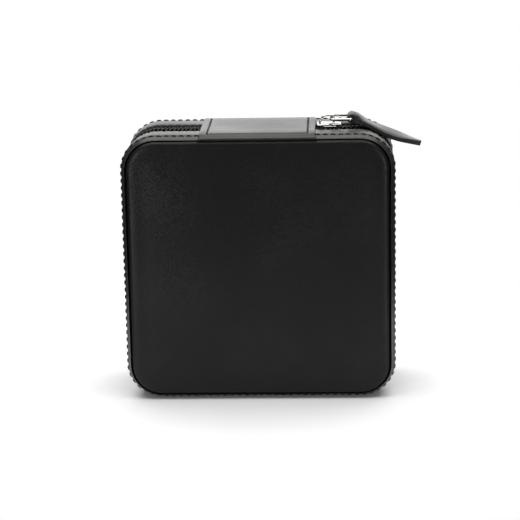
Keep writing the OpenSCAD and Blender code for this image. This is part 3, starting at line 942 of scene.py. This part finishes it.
def strap_piece():
    """Leather folded round the link's bar: a tear-shaped loop, then two glued layers."""
    centre, up, s, length, half_w, thick = strap()
    side = np.array([0.35, 0.70, 0.80, 0.89, 0.95, 0.985, 1])
    across = np.r_[-side[::-1], 0, side]
    lip = np.array([(0.35, 1.012), (0.06, 1.0), (0.0, 0.985), (-0.06, 1.0), (-0.35, 1.012)])
    rounding = 0.34 * (1 - quarter_round((1 - np.abs(across)) / 0.1))
    crease = 0.11 * bump(np.abs(across) - 0.80, 0.035)
    rows = []
    for p, o, w, h in zip(centre, up, half_w, thick):
        top = zip(across, h - rounding - crease + 0.05 * (1 - across ** 2))
        low = zip(across[::-1], rounding - h)
        right, left = ([(e * k, d * h * k) for d, e in lip] for k in (1, -1))
        rows.append([(p[0] + o[0] * d, ZIP_Y + a * w, p[1] + o[1] * d)
                     for a, d in (*top, *right, *low, *left)])
    rows = np.array(rows)
    lean = np.tan(np.radians(6.5 * bump(s - 14.5, 6.5) - 9.0 * smoothstep(s, 17, length + 2)))
    lean = lean + LINK_LEAN * (1 - smoothstep(s, 1, 7))
    rows[..., 2] += lean[:, None] * (rows[..., 1] - ZIP_Y)
    shape = Shape()
    shape.grid(rows, close_cols=True, caps=True)
    angles = np.radians(np.linspace(-28, 298, 41))
    inner, outer, w = WIRE_R + 0.3, 1.85, STRAP_NECK
    loop = []
    for a in angles:
        c, d = math.cos(a), math.sin(a)
        ring = []
        for y, r in ((-1, inner + 0.2), (-0.93, inner), (0.93, inner), (1, inner + 0.2),
                     (1, outer - 0.3), (0.94, outer - 0.08), (0.8, outer), (-0.8, outer),
                     (-0.94, outer - 0.08), (-1, outer - 0.3)):
            ring.append((FAR_X + r * c, ZIP_Y + y * w, LINK_Z + r * d + LINK_LEAN * y * w))
        loop.append(ring)
    shape.grid(loop, close_cols=True, caps=True)
    return shape.build("pull_leather")


pull = finish(strap_piece(), STRAP_LEATHER, "leather_pull", ["pull_strap"])
pull.data.materials.append(EDGE)
for face in pull.data.polygons:
    if abs(face.normal.y) > 0.75 or (face.center.x > (FAR_X + 24.9) * MM and face.normal.x > 0.6):
        face.material_index = 1


# ---------------------------------------------------------------- linings
FLOOR_T = 16.1
WALL_N = 44.4
INNER_N = WALL_N - 0.6
INSIDE = outline(1.2, INNER_N)


def lining(half, name, rim):
    """Suede: up the wall from the floor, over the rim and down to the tape. The floor is
    a slightly soft square that meets the wall in a tight cove."""
    shape = Shape()
    line = spline(rim, 4)
    points, normals, lengths, _ = INSIDE
    n = np.broadcast_to(line[:, 0], (len(lengths), len(line)))
    t = np.broadcast_to(line[:, 1], n.shape)
    wobble = 0.05 * np.sin(lengths / 5.3) * np.sin(lengths / 11.0)
    rows = place(points[:, None], normals[:, None], n + wobble[:, None] * (t < FLOOR_T - 1), t, half)
    shape.grid(rows, close_rows=True)
    flat = []
    for share in np.linspace(1, 0, 16):
        ring = place(points, normals, np.full(len(points), line[0][0]), FLOOR_T, half)
        ring[:, 0] *= share
        ring[:, 2] *= share
        sag = 0.06 * np.sin(ring[:, 0] / 6.0) * np.sin(ring[:, 2] / 7.0)
        ring[:, 1] += half * (sag * (1 - share ** 6))
        flat.append(ring)
    shape.grid(flat, close_cols=True)
    return shape.build(name)


cove = [(INNER_N - 0.9, FLOOR_T), (INNER_N - 0.35, FLOOR_T - 0.08),
        (INNER_N - 0.02, FLOOR_T - 0.5), (INNER_N, FLOOR_T - 1.3)]
rim_up = [(0, 9.0), (0, 2.0), (0.05, 0.9), (0.45, 0.38), (0.95, 0.32), (1.5, 0.5), (1.78, 1.1),
          (1.8, 3.0), (1.8, 5.4), (2.1, 6.0)]
base_rim = [*cove, *((INNER_N + n, t) for n, t in rim_up), (TAPE_N - 0.9, 6.05), (TAPE_N - 0.1, 6.2)]
lid_rim = [*cove, (INNER_N, 10.0), (INNER_N + 0.02, 7.2), (INNER_N + 0.25, 6.35),
           (INNER_N + 0.8, 6.02), (TAPE_N - 1.2, 6.0), (TAPE_N - 0.1, 6.15)]
finish(lining(BASE, "base_suede_tray", base_rim), LINING, "case_base", ["base_lining"])
finish(lining(LID, "lid_suede_tray", lid_rim), LINING, "lid", ["lid_lining"])


# ---------------------------------------------------------------- base tray
def wrapped_board(node, name):
    """A suede-covered divider: soft top edge, and a seam along one side near the floor."""
    low, high = box_mm(node)
    long_x = high[0] - low[0] > high[2] - low[2]
    a0, a1 = (low[0], high[0]) if long_x else (low[2], high[2])
    mid = (low[2] + high[2]) / 2 if long_x else (low[0] + high[0]) / 2
    half = 1.0
    ring = spline([(-half, 0.0), (-half, 6.0), (-half, 11.6), (-0.72, 12.7), (0, 13.1),
                   (0.72, 12.7), (half, 11.6), (half, 6.0), (half, 0.0)], 4)
    rows = []
    for a in np.linspace(a0 + 0.05, a1 - 0.05, 60):
        wave = 0.04 * math.sin(a / 4.1)
        row = []
        for w, h in ring:
            height = high[1] - h + 0.02
            seam = 0.07 * bump(h - 10.2, 0.35)
            w = (w + wave) - math.copysign(seam, w)
            row.append((a, height, mid + w) if long_x else (mid + w, height, a))
        rows.append(row)
    return closed_piece(rows, name)


for node in ("divider_long", "divider_left", "divider_right"):
    finish(wrapped_board(node, node + "_suede"), LINING, "case_base", [node])


def roll_mesh():
    """One ring roll, swollen by cloth simulation. It is made ten times larger, because the
    solver's lengths suit large cushions, about its own middle."""
    low, high = box_mm("ring_roll_2")
    size = (high - low) * 10 * MM
    mesh = bpy.data.meshes.new("roll_work")
    bm = bmesh.new()
    start_size = (size[0] * 0.955, size[1] * 0.90, size[2] * 0.90, 1)
    bmesh.ops.create_cube(bm, size=1.0, matrix=Matrix.Diagonal(start_size))
    top = [e for e in bm.edges if all(v.co.y < 0 for v in e.verts)
           and abs(e.verts[0].co.x - e.verts[1].co.x) > 0.1]
    bmesh.ops.bevel(bm, geom=top, offset=size[1] * 0.42, segments=6, profile=0.5, affect="EDGES")
    bm.to_mesh(mesh)
    bm.free()
    work = put("roll_work", mesh)
    remesh = work.modifiers.new("remesh", "REMESH")
    remesh.mode = "VOXEL"
    remesh.voxel_size = 0.0075
    apply_modifiers(work)
    start = np.array([v.co for v in work.data.vertices])
    cloth = work.modifiers.new("cloth", "CLOTH")
    for name, value in dict(quality=5, mass=0.3, tension_stiffness=12, compression_stiffness=12,
                            bending_stiffness=0.4, use_pressure=True,
                            uniform_pressure_force=4).items():
        setattr(cloth.settings, name, value)
    cloth.settings.effector_weights.gravity = 0
    for step in range(1, 21):
        bpy.context.scene.frame_set(step)
    apply_modifiers(work)
    bpy.context.scene.frame_set(1)
    moved = np.array([v.co for v in work.data.vertices]) - start
    cap = 0.006
    moved *= np.minimum(1, cap / np.maximum(np.linalg.norm(moved, axis=1), 1e-9))[:, None]
    start = start + moved
    limit = size / 2
    start = np.clip(start, -limit * 0.995, limit * 0.995)
    floor = start[:, 1] > limit[1] * 0.80
    start[floor, 1] = limit[1] * 0.99
    faces = [list(f.vertices) for f in work.data.polygons]
    bpy.data.objects.remove(work)
    return start / MM / 10, faces


ROLL_POINTS, ROLL_FACES = roll_mesh()
for k in (1, 2, 3, 4):
    low, high = box_mm(f"ring_roll_{k}")
    middle = (low + high) / 2
    reach = (high - low) / 2
    points = ROLL_POINTS.copy()
    points[:, 0] *= reach[0] / np.abs(points[:, 0]).max() * 0.992
    pucker = 0.10 * np.cos(points[:, 0] / 1.9 + k) * smoothstep(points[:, 1], 1.5, 5.5)
    points[:, 2] += np.sign(points[:, 2]) * (pucker - 0.10)
    tuck = smoothstep(np.abs(points[:, 0]), reach[0] - 3.0, reach[0])
    points[:, 1] += 0.7 * tuck * (points[:, 1] < 0)
    roll = make(f"ring_roll_{k}_cushion", points + middle, ROLL_FACES)
    smoother = roll.modifiers.new("smooth", "SUBSURF")
    smoother.levels = smoother.render_levels = 1
    apply_modifiers(roll)
    roll.data.polygons.foreach_set("use_smooth", [True] * len(roll.data.polygons))
    finish(roll, ROLL_SUEDE, "case_base", [f"ring_roll_{k}"])


# ---------------------------------------------------------------- lid tray
def rounded_ring(cx, cz, w, h, r, per_arc=8):
    line = []
    for sx, sz, start in CORNERS:
        for k in range(per_arc + 1):
            a = math.radians(start + 90 * k / per_arc)
            line.append((cx + sx * (w / 2 - r) + r * math.cos(a), cz + sz * (h / 2 - r) + r * math.sin(a)))
    return np.array(line)


mirror_low, mirror_high = box_mm("mirror")
MIRROR_C = (mirror_low + mirror_high) / 2
MIRROR_S = mirror_high - mirror_low


def mirror_ring(grow, y, radius):
    """Outline of the mirror, grown by a distance, at depth y."""
    ring = rounded_ring(MIRROR_C[0], MIRROR_C[2], MIRROR_S[0] + 2 * grow, MIRROR_S[2] + 2 * grow, radius)
    return np.stack([ring[:, 0], np.full(len(ring), y), ring[:, 1]], axis=-1)


def pane():
    """Mirror glass with a narrow ground edge."""
    rows = []
    for inset, y in ((0, mirror_low[1]), (0, mirror_high[1] - 0.35), (0.5, mirror_high[1] - 0.02)):
        rows.append(mirror_ring(-inset, y, 4 - inset))
    return closed_piece(rows, "mirror_pane", smooth=False)


def surround():
    """Suede-covered frame over the mirror's edge, with a rounded section."""
    low, high = box_mm("mirror_surround")
    section = [(3.0, 2.1), (3.0, 0.5), (2.7, 0.1), (2.2, 0), (-1.2, 0), (-1.75, 0.12), (-2.0, 0.4),
               (-2.0, 0.58), (0.05, 0.58), (0.05, high[1] - low[1])]
    rows = [mirror_ring(grow, high[1] - deep, 4 + grow * 0.9) for grow, deep in section]
    rows.append(rows[0])
    shape = Shape()
    shape.grid(rows, close_cols=True)
    return shape.build("mirror_surround_suede")


finish(pane(), MIRROR, "lid", ["mirror"])
finish(surround(), LINING, "lid", ["mirror_surround"])

pocket_low, pocket_high = box_mm("lid_pocket")
elastic_low, elastic_high = box_mm("pocket_elastic")


def pocket():
    """Gathered cloth pocket: full in the middle, puckered where the elastic draws it in."""
    us = np.linspace(-1, 1, 181)
    vs = np.linspace(0, 1, 46)
    z0, z1 = pocket_low[2] + 0.1, pocket_high[2] - 0.3
    half = (pocket_high[0] - pocket_low[0]) / 2 - 0.3
    base_y = pocket_high[1]
    floor_y = pocket_low[1] + 0.15
    rows = []
    for v in vs:
        z = z0 + (z1 - z0) * v
        corner = max(0.0, z - 37.0)
        limit = min(half, 36.9 + math.sqrt(max(0.0, 6.4 ** 2 - corner ** 2)))
        gather = (1 - v) ** 2.2
        row = []
        for u in us:
            puck = gather * (0.42 * math.sin(u * 92) + 0.2 * math.sin(u * 41 + 1))
            puck += 0.10 * math.sin(u * 13 + v * 5)
            side = (1 - abs(u) ** 26) * (1 - v ** 22)
            y = floor_y + (base_y - 0.75 - floor_y) * side + puck * 0.55 * side
            row.append((u * limit, y, z))
        rows.append(row)
    return thick_sheet(rows, "lid_pocket_cloth", 0.35)


def elastic():
    """Elastic in its hem, ribbed and slightly wavy."""
    xs = np.linspace(elastic_low[0] + 0.2, elastic_high[0] - 0.2, 240)
    ring = [(-1, -0.7), (-1, 0.7), (-0.8, 1), (0.8, 1), (1, 0.7), (1, -0.7), (0.8, -1), (-0.8, -1)]
    mid = (elastic_low + elastic_high) / 2
    rows = []
    for x in xs:
        ripple = 1 + 0.10 * math.sin(x * 5.2)
        rows.append([(x, mid[1] - 0.05 + b * 0.34 * ripple, mid[2] + a) for a, b in ring])
    return closed_piece(rows, "pocket_elastic_band")


cloth_pocket = finish(pocket(), POCKET_CLOTH, "lid", ["lid_pocket"])
hem = finish(elastic(), ELASTIC, "lid", ["pocket_elastic"])

# ---------------------------------------------------------------- plain CAD pieces inside
for name, material, slot in (("frame", FRAME_PLASTIC, "frame_plastic"), ("board", BOARD, "board"),
                             ("padding", FOAM, "foam")):
    for half in ("base", "lid"):
        node = frame["nodes"][f"{half}_{name}"]
        node.data.materials.clear()
        node.data.materials.append(material)

# ---------------------------------------------------------------- stage, light and camera
def stage_floor():
    """A round white table top. Past its edge the room is dim to the case but white to the lens."""
    radius = 0.155
    ring = [(radius * math.cos(a), radius * math.sin(a), 0) for a in np.arange(96) * math.pi / 48]
    mesh = bpy.data.meshes.new("floor")
    mesh.from_pydata(ring, [], [list(range(96))])
    floor = put("floor", mesh)
    floor.location = (0, ZIP_Y * MM, (FLOOR_Z - 0.05) * MM)
    m = Nodes("floor_paper")
    m.set(Specular_IOR_Level=0.05, Roughness=0.9)
    m.colour(m.colours(m.noise(30, 2), (0.3, grey(0.93)), (0.7, grey(0.95))))
    mesh.materials.append(m.material)


def area_light(name, at, size, power, aim=(0, -0.02, 0)):
    data = bpy.data.lights.new(name, "AREA")
    data.shape = "RECTANGLE"
    data.size, data.size_y = size
    data.energy = power
    lamp = put(name, data)
    lamp.location = at
    lamp.rotation_euler = (Vector(aim) - Vector(at)).to_track_quat("-Z", "Y").to_euler()


def studio_world():
    """A dim room with a bright white backdrop low behind the case. The lens sees white."""
    world = bpy.data.worlds.new("studio")
    bpy.context.scene.world = world
    world.use_nodes = True
    tree = world.node_tree
    tree.nodes.clear()
    add, link = tree.nodes.new, tree.links.new
    direction = add("ShaderNodeTexCoord").outputs["Generated"]

    def patch(towards, start, end, low, high):
        """Brightness by the angle from one direction, as cosines."""
        dot = add("ShaderNodeVectorMath")
        dot.operation = "DOT_PRODUCT"
        dot.inputs[1].default_value = Vector(towards).normalized()
        node = add("ShaderNodeMapRange")
        node.interpolation_type = "SMOOTHSTEP"
        for name, value in zip(("From Min", "From Max", "To Min", "To Max"), (start, end, low, high)):
            node.inputs[name].default_value = value
        link(direction, dot.inputs[0])
        link(dot.outputs["Value"], node.inputs["Value"])
        return node.outputs[0]

    total = add("ShaderNodeMath")
    link(patch((0, 1, 0.19), 0.89, 0.985, 0.0, 1.75), total.inputs[0])
    link(patch((0, 0.35, 1), -0.35, 0.8, 0.03, 0.26), total.inputs[1])
    room = total.outputs[0]
    sees = add("ShaderNodeLightPath")
    mixed = add("ShaderNodeMix")
    mixed.inputs[3].default_value = 1.0
    glow = add("ShaderNodeBackground")
    glow.inputs["Color"].default_value = (1, 1, 1, 1)
    output = add("ShaderNodeOutputWorld")
    link(sees.outputs["Is Camera Ray"], mixed.inputs[0])
    link(room, mixed.inputs[2])
    link(mixed.outputs[0], glow.inputs["Strength"])
    link(glow.outputs[0], output.inputs[0])


def camera():
    """A long lens a little above and right of the lid, held slightly tilted."""
    distance, aim = 680.0, Vector((0.43, -40.0, 3.65))
    turn, rise, roll = (math.radians(a) for a in (2.34, 14.36, -1.07))
    back = Vector((math.sin(turn) * math.cos(rise), -math.cos(turn) * math.cos(rise), math.sin(rise)))
    right = (-back).cross(Vector((0, 0, 1))).normalized()
    up = right.cross(-back)
    tilted = right * math.cos(roll) + up * math.sin(roll)
    top = up * math.cos(roll) - right * math.sin(roll)
    data = bpy.data.cameras.new("camera")
    data.lens = 128.5
    data.sensor_width = 36
    data.clip_start = 0.01
    cam = put("camera", data)
    at = (aim + back * distance) * MM
    cam.matrix_world = Matrix([[tilted[i], top[i], back[i], at[i]] for i in range(3)] + [[0, 0, 0, 1]])
    bpy.context.scene.camera = cam


stage_floor()
studio_world()
area_light("softbox_top", (0.0, 0.12, 1.25), (1.7, 1.6), 27.0, aim=(0, 0.12, 0))
area_light("softbox_left", (-0.42, -0.70, 0.0), (0.12, 0.5), 2.1)
area_light("softbox_right", (0.46, -0.68, 0.0), (0.12, 0.5), 1.6)
camera()
bpy.context.scene.view_settings.view_transform = "Standard"

bpy.context.view_layer.update()
